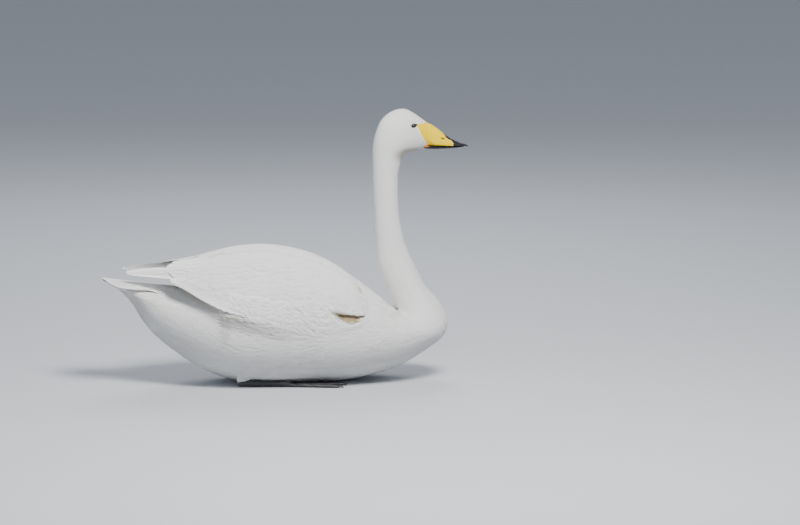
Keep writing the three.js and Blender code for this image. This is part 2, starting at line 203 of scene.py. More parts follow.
def hollow(points, soft=4):
    """1 in the small hollow at the wrist, between the edge of the wing and the breast."""
    x, z = points[..., 0] / MM, points[..., 2] / MM
    top, low = np.interp(x, HOLLOW_X, HOLLOW_TOP), np.interp(x, HOLLOW_X, HOLLOW_LOW)
    return step(z - low, -1, soft) * step(top - z, -1, 2 * soft) * step(top - low, 0, 8)


def blob(points, middle, reach):
    """A soft mark: 1 in the middle, 0 from a reach away on. Both sides of the bird have it."""
    away = (np.abs(points) / MM * (np.sign(points[..., :1]) * (1, 0, 0) + (0, 1, 1)) - middle) / reach
    return step(1 - np.linalg.norm(away, axis=-1), 0, 0.6)


# How far the dark rim round the eye reaches, in mm.
RIM_AHEAD, RIM_BEHIND, RIM_ABOVE = 9.4, 7.4, 4.7


def beside_eye(points):
    """Distance from the middle of the eye in its own tilted oval, 1 where the feathers begin."""
    ahead, up = points[..., 0] / MM - EYE["x"], points[..., 2] / MM - EYE["z"]
    along = ahead * np.cos(LID_TILT) + up * np.sin(LID_TILT)
    across = up * np.cos(LID_TILT) - ahead * np.sin(LID_TILT)
    return np.hypot(along / np.where(along > 0, RIM_AHEAD, RIM_BEHIND), across / RIM_ABOVE)


# Soft marks on the white, some real stain and mostly painted shade: middle and reach, in mm, and strength.
STAINS_AND_SHADES = (
    # Cheek: painted shade under the head, with some real staining.
    ((286, 10, 532), (56, 40, 26), 0.6),  # cheek
    # Stern: painted shade on its underside, with some staining.
    ((-372, 0, 175), (80, 80, 85), 0.35),  # stern
    # Belly: painted shade under the rear of the body.
    ((-280, 0, 90), (170, 130, 70), 0.2),  # belly
    # Painted shade in the crease behind the flank.
    ((-168, 130, 150), (18, 60, 55), 0.25),  # crease behind the flank
)


def markings(points):
    """Numbers for the paint at each point: yellow bare skin, dark skin round the eye, and stain with painted
    shade on the feathers: the soft marks above, painted shadow along the wing's lower edge and painted shade
    in the hollow at the wrist."""
    x, z = points[..., 0] / MM, points[..., 2] / MM
    below = np.interp(x, WING_RIBS[:, 0], WING_RIBS[:, 4]) - z
    # Painted shadow in a band just below the wing's lower edge, towards the rear.
    edge = step(below, -1, 4) * (1 - step(below, 6, 26)) * step(-90 - x, 0, 50) * step(x, -300, -280)
    soft = [strength * blob(points, middle, reach) for middle, reach, strength in STAINS_AND_SHADES]
    return {
        "yellow": bare(points),
        "dark": 1 - step(beside_eye(points), 0.85, 1.05),
        # This number holds real stains and painted shade alike, and the hollow at the wrist is painted darker
        # as shade.
        "stain": np.maximum.reduce([*soft, 0.5 * edge, hollow(points, 3)]),
    }


def mesh_of(name, points, faces, maps=None, tones=None):
    """A mesh object from an array of points and arrays of faces with three or four corners each. maps are UV
    maps, with two numbers for each point, and tones are attributes, with one."""
    mesh = bpy.data.meshes.new(name)
    corners = np.concatenate([part.ravel() for part in faces])
    sizes = np.concatenate([np.full(len(part), part.shape[1]) for part in faces])
    mesh.vertices.add(len(points))
    mesh.vertices.foreach_set("co", np.asarray(points, np.float32).ravel())
    mesh.loops.add(len(corners))
    mesh.loops.foreach_set("vertex_index", corners.astype(np.int32))
    mesh.polygons.add(len(sizes))
    mesh.polygons.foreach_set("loop_start", (np.cumsum(sizes) - sizes).astype(np.int32))
    mesh.polygons.foreach_set("use_smooth", np.ones(len(sizes), bool))
    for key, places in (maps or {}).items():
        layer = mesh.uv_layers.new(name=key)
        layer.data.foreach_set("uv", np.asarray(places, np.float32)[corners].ravel())
    for key, values in (tones or {}).items():
        attribute = mesh.attributes.new(key, "FLOAT", "POINT")
        attribute.data.foreach_set("value", np.asarray(values, np.float32))
    mesh.update(calc_edges=True)
    mesh.validate()
    piece = bpy.data.objects.new(name, mesh)
    bpy.context.scene.collection.objects.link(piece)
    return piece


def closed_grid(rows, around, start=0):
    """Faces of a tube of rings that wraps round, and of the fans that close its two ends at two further
    points."""
    j = np.arange(around)
    after = (j + 1) % around
    base = start + np.arange(rows - 1)[:, None] * around
    walls = np.stack([base + j, base + after, base + after + around, base + j + around], -1).reshape(-1, 4)
    first, end = start + rows * around, start + (rows - 1) * around
    caps = np.concatenate([
        np.stack([np.full(around, first), start + after, start + j], -1),
        np.stack([np.full(around, first + 1), end + j, end + after], -1),
    ])
    return walls, caps


def mirrored(points, faces):
    """The same shape on the bird's other side, with its faces turned to point outwards again."""
    return points * (1, -1, 1), [part[:, ::-1] for part in faces]


def limb(stations, flatten=1.0):
    """A surface round a line of stations, each with x, y, z and a radius in mm: right-hand side at angle
    0."""
    stations = np.array(stations, float)

    def surface(t, angle):
        t, angle = np.broadcast_arrays(t, angle)
        place = spline(stations, t)
        way = unit(spline(stations, t + 0.02)[..., :3] - spline(stations, t - 0.02)[..., :3])
        side = unit(np.cross(way, (0, 0, 1)))
        above = np.cross(side, way)
        offset = side * np.cos(angle)[..., None] + flatten * above * np.sin(angle)[..., None]
        return MM * (place[..., :3] + place[..., 3:] * offset)

    return surface, len(stations) - 1


def solid_of(surface, end, rows, around, start=0):
    """Points and faces of a closed limb."""
    t = np.linspace(0.001, end - 0.001, rows)[:, None]
    rings = surface(t, np.linspace(0, 2 * np.pi, around, endpoint=False))
    walls, caps = closed_grid(rows, around, start)
    return np.concatenate([rings.reshape(-1, 3), rings[[0, -1]].mean(1)]), walls[:, ::-1], caps[:, ::-1]


def joined(parts):
    """Points and faces of several limbs in one mesh."""
    points, walls, caps, start = [], [], [], 0
    for surface, end, rows, around in parts:
        more, four, three = solid_of(surface, end, rows, around, start)
        points.append(more)
        walls.append(four)
        caps.append(three)
        start += len(more)
    return np.concatenate(points), [np.concatenate(walls), np.concatenate(caps)]


def paint(name, colour, roughness):
    """A material with one colour, and its shader."""
    material = bpy.data.materials.new(name)
    material.use_nodes = True
    shader = material.node_tree.nodes["Principled BSDF"]
    shader.inputs["Base Color"].default_value = (*colour, 1)
    shader.inputs["Roughness"].default_value = roughness
    return material, material.node_tree, shader


def mixed(tree, name, low, high, start, end):
    """A colour that goes from start to end as a named number of the mesh goes from low to high. Each end is a
    colour or another such mix."""
    number = tree.nodes.new("ShaderNodeAttribute")
    number.attribute_name = name
    span = tree.nodes.new("ShaderNodeMapRange")
    span.inputs["From Min"].default_value, span.inputs["From Max"].default_value = low, high
    mix = tree.nodes.new("ShaderNodeMix")
    mix.data_type = "RGBA"
    tree.links.new(number.outputs["Fac"], span.inputs["Value"])
    tree.links.new(span.outputs["Result"], mix.inputs["Factor"])
    for socket, value in zip(("A", "B"), (start, end)):
        place = [i for i in mix.inputs if i.name == socket and i.type == "RGBA"][0]
        if isinstance(value, tuple):
            place.default_value = (*value, 1)
        else:
            tree.links.new(value, place)
    return [o for o in mix.outputs if o.type == "RGBA"][0]


# The left shank from hock to flank: x, y, z and radius of its plumage, and how deep that lies, in mm.
SHANK = [(-124, 75.5, 19, 9), (-120, 75, 21, 10.5), (-92, 70, 40, 17), (-60, 68, 62, 22)]
SHANK_DEPTH = 2.5
shank, shank_end = limb(SHANK)

# Under the folded wing the skin swells to WING_GAP below the wing's face, and lies WRIST_GAP deeper in the
# hollow at the wrist, both in mm. The swelling sets in over SWELL_FROM, two places along x in metres.
WING_GAP, WRIST_GAP = 14, 12
SWELL_FROM = (-160 * MM, -110 * MM)
CRISP_ANGLE = np.radians(70)
SKIN_AROUND = 144
skin_t = np.concatenate([
    np.linspace(0.05, NECK_ROOT, 150, endpoint=False),
    np.linspace(NECK_ROOT, NAPE, 50, endpoint=False),
    np.linspace(NAPE, BILL_BASE, 170),
])
T, ANGLE = np.meshgrid(skin_t, np.linspace(0, 2 * np.pi, SKIN_AROUND, endpoint=False), indexing="ij")
outline = tube(T, ANGLE)
depth = np.interp(T, DEPTH_AT, DEPTH)
depth = depth + (BARE_DEPTH - depth) * bare(outline, 1.2)
from_notch = np.linalg.norm(outline / MM - NOTCH, axis=-1)
depth = depth + NOTCH_DEPTH * (1 - step(from_notch, *NOTCH_REACH)) * step(np.cos(ANGLE), -0.3, 0.2)
skin = tube(T, ANGLE, depth)
over, out_y, out_z = under_wing(skin)
swell = np.maximum(over - MM * (WING_GAP + WRIST_GAP * hollow(skin, 8)), 0)
swell = swell * step(skin[..., 0], *SWELL_FROM)
skin[..., 1] += out_y * swell
skin[..., 2] += out_z * swell
skin[..., 2] = np.maximum(skin[..., 2], FLOOR_CLEARANCE)
skin_points = np.concatenate([skin.reshape(-1, 3), skin[[0, -1]].mean(1)])
skin_piece = mesh_of("skin", skin_points, closed_grid(len(skin_t), SKIN_AROUND), tones=markings(skin_points))
skin_piece.data.set_sharp_from_angle(angle=CRISP_ANGLE)
for side in (1, -1):
    core = limb([(x, y, z, radius - SHANK_DEPTH) for x, y, z, radius in SHANK])
    points, faces = joined([(*core, 40, 40)])
    if side < 0:
        points, faces = mirrored(points, faces)
    inner = mesh_of("shank_core", points, faces)
    join = skin_piece.modifiers.new("shank", "BOOLEAN")
    join.operation, join.solver, join.object = "UNION", "EXACT", inner
    bpy.context.view_layer.update()
    whole = bpy.data.meshes.new_from_object(skin_piece.evaluated_get(bpy.context.evaluated_depsgraph_get()))
    skin_piece.modifiers.clear()
    skin_piece.data = whole
    bpy.data.objects.remove(inner)
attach(skin_piece, "root")
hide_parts("trunk", "tail_coverts", "neck_lower", "neck_middle", "neck_upper", "head",
            "shank_left", "shank_right")

# The third colour is the warm tan of real stains and of painted shade in creases, in the hollow at the wrist
# and under the wing and the body.
WHITE, OFF_WHITE, STAIN_AND_SHADE = (0.93, 0.925, 0.9), (0.885, 0.875, 0.84), (0.3, 0.23, 0.13)
YELLOW, DARK = (0.62, 0.44, 0.0), (0.02, 0.018, 0.017)
bare_skin, tree, shader = paint("skin", WHITE, 0.42)
# The skin turns that warm tan where stains and painted shade are set.
feather = mixed(tree, "stain", 0, 1, OFF_WHITE, STAIN_AND_SHADE)
bare_colour = mixed(tree, "yellow", 0, 1, feather, YELLOW)
tree.links.new(mixed(tree, "dark", 0, 1, bare_colour, DARK), shader.inputs["Base Color"])
shader.inputs["Specular IOR Level"].default_value = 0.15
skin_piece.data.materials.append(bare_skin)

# ---------------------------------------------------------------- coat of small feathers
# Small white feathers over trunk, breast, neck and head, each a thin closed vane with its root on the skin.
# They grow in staggered rows and lie towards the tail, so that each tip covers the roots behind it.


def dot(a, b):
    """Dot products of two arrays of vectors."""
    return (a * b).sum(-1)


def slopes(surface, t, a):
    """How a surface's point moves with its two parameters, by small differences, and its outward normal."""
    small = 1e-3
    along = (surface(t + small, a) - surface(t - small, a)) / (2 * small)
    across = (surface(t, a + small) - surface(t, a - small)) / (2 * small)
    normal = np.cross(across, along)
    return along, across, normal / np.linalg.norm(normal, axis=-1, keepdims=True)


# ROW_PITCH is the distance between rows over the spacing. Where ribs crowd, FULLNESS times the even share of
# the roots is kept, and TURN_ALONG and TURN_ACROSS are the steps of an even spread by which the others are
# chosen.
ROW_PITCH, FULLNESS = 0.87, 1.15
TURN_ALONG, TURN_ACROSS = 0.7549, 0.5698
FINE_ROWS, FINE_COLUMNS = 900, 241


def rows_on(surface, t_span, a_span, spacing, stray=0.22):
    """Roots in staggered rows. Rows lie a share of the spacing apart where the ribs are furthest apart,
    and the roots of a row one spacing apart. Where ribs crowd together, as many roots are left out as
    keep the density."""
    fine_t, fine_a = np.linspace(*t_span, FINE_ROWS), np.linspace(*a_span, FINE_COLUMNS)
    grid = surface(fine_t[:, None], fine_a[None, :])
    gap = spacing(fine_t)
    pace = np.linalg.norm(np.gradient(grid, axis=0), axis=-1)
    row = np.cumsum(pace.max(1) / (ROW_PITCH * gap))
    girth = np.linalg.norm(np.diff(grid, axis=1), axis=-1).cumsum(1)
    girth = np.concatenate([np.zeros((FINE_ROWS, 1)), girth], 1)
    found_t, found_a = [], []
    for k in range(1, int(row[-1])):
        i = np.searchsorted(row, k)
        count = max(int(girth[i, -1] / gap[i]), 3)
        place = (np.arange(count) + 0.5 * (k % 2) + stray * chance.uniform(-1, 1, count)) / count
        a = np.interp(place % 1, girth[i] / girth[i, -1], fine_a)
        thin = np.interp(a, fine_a, pace[i] / pace[i].max())
        turn = (TURN_ALONG * np.arange(count) + TURN_ACROSS * k) % 1
        shift = stray * gap[i] * chance.uniform(-1, 1, count) / (pace[i].max() / (fine_t[1] - fine_t[0]))
        keep = turn < FULLNESS * thin
        found_t.append((fine_t[i] + shift)[keep])
        found_a.append(a[keep])
    return np.concatenate(found_t), np.concatenate(found_a)


def trace(surface, t_span, a_span, t, a, length, shares, toward):
    """Centre lines of feathers that follow a surface from their roots, towards the tail and turned by
    toward. At each share of the length the line takes a step in the tangent plane, found in the surface's
    parameters by its metric. Past the surface's edges it goes straight on. Gives spots, normals and ways."""
    spot, before, found = surface(t, a), 0.0, []
    for share in shares:
        along, across, normal = slopes(surface, t, a)
        way = toward - unit(along)
        way = unit(way - normal * dot(way, normal)[:, None])
        pace = (share - before) * length
        ee, ff, gg = dot(along, along), dot(along, across), dot(across, across)
        p, q = pace * dot(along, way), pace * dot(across, way)
        det = np.maximum(ee * gg - ff**2, 1e-13)
        next_t = t + np.clip((gg * p - ff * q) / det, -1, 1)
        next_a = a + np.clip((ee * q - ff * p) / det, -0.5, 0.5)
        inside = (next_t > t_span[0]) & (next_t < t_span[1]) & (next_a > a_span[0]) & (next_a < a_span[1])
        t, a = np.where(inside, next_t, t), np.where(inside, next_a, a)
        spot = np.where(inside[:, None], surface(t, a), spot + way * pace[:, None])
        before = share
        found.append((spot, slopes(surface, t, a)[2], way))
    return [np.stack(part, 1) for part in zip(*found)]


def vane_faces(rings, around):
    """Faces of one closed vane. A ring runs over its top from edge to edge and back underneath, the first is
    closed flat, and the last ends in the tip point."""
    across = around // 2
    j = np.arange(around)
    after = (j + 1) % around
    base = np.arange(rings - 1)[:, None] * around
    walls = np.stack([base + j, base + after, base + after + around, base + j + around], -1).reshape(-1, 4)
    end = (rings - 1) * around
    k = np.arange(1, across - 1)
    threes = np.concatenate([
        np.stack([end + j, end + after, np.full(around, rings * around)], -1),
        [(0, around - 1, 1), (across - 1, across + 1, across)],
    ])
    return np.concatenate([walls, np.stack([k, around - k, around - k - 1, k + 1], -1)]), threes


# How wide each vane's patch is on the OFBake map, and the places across a vane where it has points: on a
# small feather, and on a large one.
PATCH = 0.003
PAIR = (-1, 0, 1)
SOFT = (-1, -0.55, 0, 0.55, 1)


def sums(tree, operation, *terms):
    """A Math node on numbers and other nodes' outputs."""
    node = tree.nodes.new("ShaderNodeMath")
    node.operation = operation
    for socket, term in zip(node.inputs, terms):
        if isinstance(term, (int, float)):
            socket.default_value = term
        else:
            tree.links.new(term, socket)
    return node.outputs["Value"]


BARBS, BARB_SLANT, SHAFT_HALF = 90, 0.25, 0.05
plumage, tree, shader = paint("plumage", WHITE, 0.75)
# Feathers turn warm tan where stains and painted shade are set, over their random tone.
feather = mixed(tree, "stain", 0, 1, mixed(tree, "tone", 0, 1, WHITE, OFF_WHITE), STAIN_AND_SHADE)
feather = mixed(tree, "dark", 0, 1, feather, DARK)
tree.links.new(mixed(tree, "yellow", 0, 1, feather, YELLOW), shader.inputs["Base Color"])
shader.inputs["Subsurface Weight"].default_value = 0.5
shader.inputs["Subsurface Radius"].default_value = (1, 0.9, 0.75)
shader.inputs["Subsurface Scale"].default_value = 0.004
shader.inputs["Sheen Weight"].default_value = 0.1

# Each vane is finely furrowed by its barbs, that slant from the shaft to the tip, and the shaft stands up a
# little.
vane_place = tree.nodes.new("ShaderNodeUVMap")
vane_place.uv_map = "Vane"
parts = tree.nodes.new("ShaderNodeSeparateXYZ")
tree.links.new(vane_place.outputs["UV"], parts.inputs["Vector"])
off_shaft = sums(tree, "ABSOLUTE", sums(tree, "SUBTRACT", parts.outputs["X"], 0.5))
slant = sums(tree, "MULTIPLY_ADD", off_shaft, -BARB_SLANT, parts.outputs["Y"])
barbs = sums(tree, "SINE", sums(tree, "MULTIPLY", slant, 2 * np.pi * BARBS))
shaft = sums(tree, "MAXIMUM", sums(tree, "SUBTRACT", 1, sums(tree, "DIVIDE", off_shaft, SHAFT_HALF)), 0)
relief = tree.nodes.new("ShaderNodeBump")
relief.inputs["Strength"].default_value = 0.35
relief.inputs["Distance"].default_value = 0.3 * MM
tree.links.new(sums(tree, "MULTIPLY_ADD", barbs, 0.2, shaft), relief.inputs["Height"])
tree.links.new(relief.outputs["Normal"], shader.inputs["Normal"])


def vanes(name, line, shares, wide, rise, sag, thick, roots, across=PAIR, mirror=False):
    """Many closed vanes in one mesh. Round each centre line a ring reaches to either side by wide, lies
    rise above the surface and sags by the square of its reach. In metres."""
    spots, normals, ways = line
    count, rings = spots.shape[0], spots.shape[1] - 1
    sides = np.cross(ways, normals)
    top = np.array(across, float)
    u = np.concatenate([top, top[-2:0:-1]])
    under = np.concatenate([np.zeros(len(top)), np.ones(len(top) - 2)])
    reach = wide[..., None] * u
    inner = thick * under * (1 - u**2)
    lift = rise[..., None] - sag * reach**2 - inner
    full = spots[:, :, None] + sides[:, :, None] * reach[..., None] + normals[:, :, None] * lift[..., None]
    full[..., 2] = np.maximum(full[..., 2], FLOOR_CLEARANCE + inner)
    tip = spots[:, -1] + normals[:, -1] * rise[:, -1, None]
    points = np.concatenate([full[:, :rings].reshape(count, -1, 3), tip[:, None]], 1)
    points[..., 2] = np.maximum(points[..., 2], FLOOR_CLEARANCE)
    v = np.repeat(shares[:rings], len(u))
    vane_map = np.stack([np.append(0.5 + 0.5 * np.tile(u, rings), 0.5), np.append(v, 1)], -1)
    vane_map = np.broadcast_to(vane_map, (count, len(v) + 1, 2))
    patch = roots[:, None] + PATCH * (vane_map - 0.5)
    per = len(v) + 1
    faces = [(np.arange(count)[:, None, None] * per + part).reshape(-1, part.shape[1])
             for part in vane_faces(rings, len(u))]
    if mirror:
        points, faces = mirrored(points, faces)
    piece = mesh_of(name, points.reshape(-1, 3), faces,
                    {"OFBake": patch.reshape(-1, 2), "Vane": vane_map.reshape(-1, 2)},
                    {"tone": np.repeat(chance.random(count), per), **markings(points.reshape(-1, 3))})
    piece.data.set_sharp_from_angle(angle=CRISP_ANGLE)
    piece.data.materials.append(plumage)
    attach(piece, "root")
    return piece


def rounded(shares, start):
    """Share of a feather's full width along it: it widens up to a third of the way, and from start on it
    narrows as an ellipse does."""
    swell = np.interp(shares, (0, 0.35), (0.4, 1))
    return swell * np.sqrt(1 - np.clip((shares - start) / (1 - start), 0, 1) ** 2)


def drift(points, scale):
    """Slow waves over the bird, from -1 to 1, by which neighbouring feathers differ together."""
    x, y, z = np.moveaxis(points / scale, -1, 0)
    return (np.sin(x + 1.7 * np.sin(0.8 * z + y)) + np.sin(1.3 * z - 0.7 * x + 2 * np.sin(0.9 * y + 1))) / 2


# WAVE is one radian of the slow waves by which neighbouring feathers differ together. A feather whose line
# turns so far from one ring to the next that the cosine falls below BEND_LIMIT is left out. The thicknesses
# are those of small feathers, of long feathers and of the tail's, in metres. Each feather strays by chance:
# in its lie by TURN_SPREAD, and in length and width between two factors.
WAVE = 24 * MM
BEND_LIMIT = 0.3
TURN_SPREAD, LENGTH_SPREAD, WIDTH_SPREAD = 0.06, (0.88, 1.08), (0.9, 1.1)
VANE_THICKNESS, QUILL_THICKNESS, STEERING_THICKNESS = 0.2 * MM, 0.35 * MM, 0.4 * MM


def grow(name, surface, spans, t, a, long, half, depth, shares, start, across=PAIR, toward=0.0, lift=0.0,
         climb=None, mirror=False):
    """Feathers with their roots at places t and a of a surface. All lengths are in mm. lift raises the
    tips, and climb gives how far they have to rise further at each spot."""
    count = len(t)
    half = half + np.zeros(count)
    spots = surface(t, a)
    wave = drift(spots, WAVE)[:, None]
    turn = chance.normal(0, TURN_SPREAD, (count, 3)) + wave * (0, 0.05, 0.08)
    length = MM * long * chance.uniform(*LENGTH_SPREAD, count) * (1 + 0.06 * wave[:, 0])
    wide = (MM * half * chance.uniform(*WIDTH_SPREAD, count))[:, None] * rounded(shares, start)
    line = trace(surface, *spans, t, a, length, shares, np.asarray(toward) + turn)
    depth = (MM * depth + np.zeros(count))[:, None]
    uneven = 0.02 * depth * (chance.uniform(-1, 1, (count, 1)) + wave)
    rise = -depth * (1 - shares) ** 2 + (MM * lift + uneven) * shares
    if climb:
        rise = rise + climb(line[0])
    inside = hollow(spots) > 0.3
    rise = rise - HOLLOW_DEPTH * MM * hollow(line[0]) * inside[:, None]
    (t_low, t_high), (a_low, a_high) = spans
    root_t, root_a = 0.96 * (t - t_low) / (t_high - t_low), 0.96 * (a - a_low) / (a_high - a_low)
    roots = 0.02 + np.stack([root_t, root_a], -1)
    radius = MM * np.clip(half, 1, None)
    sag = (0.5 / (12 * radius) + 0.05 / radius)[:, None, None]
    bent = np.minimum(*(dot(turns[:, 1:], turns[:, :-1]) for turns in line[1:])).min(1) < BEND_LIMIT
    free = (inside | (hollow(line[0][:, -1]) < 0.4)) & ~bent
    line, wide, rise, roots = [part[free] for part in line], wide[free], rise[free], roots[free]
    return vanes(name, line, shares, wide, rise, sag[free], VANE_THICKNESS, roots, across, mirror)


# Along the ribs: how far apart the feathers stand and how long they are, in mm, and the share of the spacing
# that each reaches to either side.
COAT_AT = (0, 4, 10, 13, 15, 17, 19, 22, 25, 28, 31, 33)
SPACING = (7, 7.5, 7.5, 6.5, 5, 3.8, 3, 2.6, 2.2, 1.9, 1.45, 1.15)
LENGTH = (38, 40, 38, 30, 22, 17, 14, 12, 10, 7.5, 5, 3)
REACH = (0.9, 0.9, 0.9, 0.9, 0.9, 0.9, 0.88, 0.88, 0.88, 0.88, 0.85, 0.8)

# The shares of its length at which a feather has rings: on fine, broad and long ones.
FINE_SHARES = np.array([0, 0.5, 0.84, 1])
BROAD_SHARES = np.array([0, 0.4, 0.7, 0.88, 0.97, 1])
LONG_SHARES = np.array([0, 0.25, 0.5, 0.72, 0.86, 0.94, 0.985, 1])

all_t, all_a = rows_on(tube, (0.02, 32.97), (0, 2 * np.pi), lambda t: MM * np.interp(t, COAT_AT, SPACING))
places = tube(all_t, all_a)
at_eye = (beside_eye(places) < 1) & (np.abs(places[:, 1]) > 12 * MM)
over = under_wing(places)[0]
edge_z = MM * np.interp(places[:, 0] / MM, WING_RIBS[:, 0], WING_RIBS[:, 4])
under = (over > (9 - 6 * step(places[:, 0], 130 * MM, 150 * MM)) * MM) & (places[:, 0] > -150 * MM)
under &= (places[:, 2] > edge_z) | (places[:, 0] > 0)
grown = (bare(places) < 0.5) & ~at_eye & ~under

# The feathers of the flank, that close over the lower edge of the wing and end in a step behind it.
flank_x, flank_z = places[:, 0] / MM, places[:, 2] / MM
flank = step(flank_x, -150, -125) * step(110 - flank_x, 0, 60)
flank = flank * step(flank_z, 85, 115) * step(172 - flank_z, 0, 8)
TUBE_SPANS = ((0, BILL_BASE), (-1, 1 + 2 * np.pi))

# How far below the wing's lower edge the coat begins to rise towards it, and the stretch of x over which the
# wing comes down to the shoulder at its bend, in mm.
WING_OVERLAP = 40
BEND = (140, 184)


def over_wing(points):
    """How far the coat rises to close over the wing's lower edge, in metres: as far as the wing's face
    lies beyond each point at its own height, found in a few rounds. Below the edge, and towards both
    ends, it fades out."""
    x, y, z = points[..., 0] / MM, np.abs(points[..., 1]) / MM, points[..., 2] / MM
    top_y, top_z, low_y, low_z, bulge = wing_section(x)
    drop, width = top_z - low_z, low_y - top_y
    chord, share = np.hypot(drop, width), 0.5
    for _ in range(8):
        share = np.clip((top_z - z + width / chord * bulge * np.sin(np.pi * share)) / drop, 0, 1)
    out = top_y + width * share + drop / chord * bulge * np.sin(np.pi * share) - y
    straight = under_wing(points)[0] / MM
    out = np.where(straight > 0, np.minimum(out, straight), out) + 0.8 * step(150 - x, 0, 30)
    above_edge = step(z - low_z, 0, 24) * step(-138 - x, 0, 10)
    ends = (1 - step(x, *BEND)) * step(x, -230, -142)
    fades = step(225 - z, 0, 20) * (1 - step(low_z - z, 0, WING_OVERLAP)) * (1 - above_edge) * ends
    return MM * np.clip(out, 0, 60) * fades


def coat(name, low, high, shares, start):
    """A stretch of the coat on the tube, between two places on its ribs."""
    chosen = grown & (all_t >= low) & (all_t < high)
    t, a, rising = all_t[chosen], all_a[chosen], flank[chosen]
    spacing, long, reach = (np.interp(t, COAT_AT, row) for row in (SPACING, LENGTH, REACH))
    depth = np.interp(t, DEPTH_AT, DEPTH)
    tight = np.linalg.norm(places[chosen] / MM - NOTCH, axis=-1)
    long = long * (0.5 + 0.5 * step(tight, 6, 45))
    long = long * (1 + 0.2 * rising)
    return grow(name, tube, TUBE_SPANS, t, a, long, spacing * reach, depth, shares, start,
                toward=rising[:, None] * (0, 0, 0.22), climb=over_wing)


coat("coat_tail_coverts", 0, 4, BROAD_SHARES, 0.5)
coat("coat_rump", 4, 7, BROAD_SHARES, 0.5)
coat("coat_belly", 7, 10, BROAD_SHARES, 0.5)
coat("coat_flank", 10, 13, BROAD_SHARES, 0.5)
coat("coat_breast", 13, 16, BROAD_SHARES, 0.4)
coat("coat_shoulder", 16, NECK_ROOT, BROAD_SHARES, 0.3)
coat("coat_neck_lower", NECK_ROOT, 22, FINE_SHARES, 0.15)
coat("coat_neck_upper", 22, NAPE, FINE_SHARES, 0.15)
coat("coat_nape", NAPE, 28.5, FINE_SHARES, 0.15)
coat("coat_face", 28.5, BILL_BASE, FINE_SHARES, 0.1)

# The shanks, whose feathers reach down over the hocks.
t, a = rows_on(shank, (0.8, shank_end - 0.6), (0, 2 * np.pi), lambda t: 2.8 * MM + 0 * t)
for side_name in ("left", "right"):
    grow(f"coat_shank_{side_name}", shank, ((0, shank_end), (-1, 1 + 2 * np.pi)), t, a, 11, 2.5, SHANK_DEPTH,
         BROAD_SHARES, 0.4, mirror=side_name == "right")

# ---------------------------------------------------------------- wings
# The folded wings, from the small coverts at the bend, over the scapulars and the large coverts, to the
# tertials and the flight feathers whose tips show behind. The left wing mirrors the right one.


def wing(t, share, ribs=WING_RIBS):
    """Point of the right wing's outer face: an arc over the chord from a rib's upper to its lower edge."""
    t, share = np.broadcast_arrays(t, share)
    x, top_y, top_z, low_y, low_z, bulge = np.moveaxis(spline(ribs, t), -1, 0)
    chord = np.hypot(low_y - top_y, low_z - top_z)
    rise = bulge * np.sin(np.pi * share)
    y = top_y + (low_y - top_y) * share + (top_z - low_z) / chord * rise
    z = top_z + (low_z - top_z) * share + (low_y - top_y) / chord * rise
    return MM * np.stack([x, -y, z], -1)


WING_SPANS = ((0, 11), (-0.02, 1.02))
COVERT_AT = (0, 2, 4, 6, 8, 9.5, 11)
COVERT_SPACING = (20, 19, 15.5, 11.5, 8, 6, 4.5)
COVERT_LENGTH = (80, 84, 72, 50, 34, 26, 20)
COVERT_DEPTH = (2.5, 3.5, 4, 4, 3.2, 2.2, 1.2)
COVERTS = (COVERT_SPACING, COVERT_LENGTH, COVERT_DEPTH)


near_t, near_a = np.meshgrid(np.linspace(9, 14, 130), np.linspace(0, np.pi, 90), indexing="ij")
near, near_normals = tube(near_t, near_a).reshape(-1, 3), slopes(tube, near_t, near_a)[2].reshape(-1, 3)


def at_bend(points):
    """How far the wing's feathers sink towards its bend, to come down to the coat of the shoulder."""
    share = step(points[..., 0] / MM, *BEND)
    chosen = share > 0
    spots = points[chosen] * (1, 0, 1) - np.abs(points[chosen]) * (0, 1, 0)
    nearest = ((near**2).sum(-1) - 2 * spots @ near.T).argmin(1)
    sink = np.zeros(share.shape)
    sink[chosen] = -share[chosen] * np.maximum(dot(spots - near[nearest], near_normals[nearest]), 0)
    return sink


def both_wings(name, t, share, long, half, depth, shares, start, **how):
    """Feathers on the right wing's surface, and their mirror image on the left one."""
    return [grow(f"{name}_{side}", wing, WING_SPANS, t, share, long, half, depth, shares, start, SOFT,
                 climb=at_bend, mirror=side == "left", **how) for side in ("right", "left")]




def covert_gap(t):
    """Spacing of the wing's feathers along its ribs, in metres."""
    return MM * np.interp(t, COVERT_AT, COVERT_SPACING)


covert_t, covert_s = rows_on(wing, (3.6, 10.9), (0.01, 0.985), covert_gap)
low_edge = 0.8 + 0.07 * step(covert_t, 5.5, 6.5) + 0.12 * (1 - step(9.3 - covert_t, 0, 0.6))
small = covert_t >= 6
for label, chosen, shares in (("lesser_coverts", small, BROAD_SHARES),
                              ("greater_coverts", ~small, LONG_SHARES)):
    chosen = chosen & (covert_s < low_edge)
    t, share = covert_t[chosen], covert_s[chosen]
    spacing, long, depth = (np.interp(t, COVERT_AT, row) for row in COVERTS)
    down = (share - 0.4)[:, None] * (0, 0, -0.25)
    tuck = -4 * step(share, 0.1, 0)[:, None]
    both_wings(label, t, share, long, 0.85 * spacing, depth, shares, 0.6, toward=down, lift=tuck)


# The topmost feathers of the flank, that grow from under the wing's lower edge and lie over it.
t, share = rows_on(wing, (4.75, 9.2), (0.84, 1), lambda t: 7.5 * MM + 0 * t)
fade = (step(t, 4.6, 5.1) * step(9.2 - t, 0, 0.5))[:, None]
both_wings("flank_edge", t, share, 40, 7, 6, BROAD_SHARES, 0.5, toward=(0, 0, 0.42), lift=2.5 * fade)


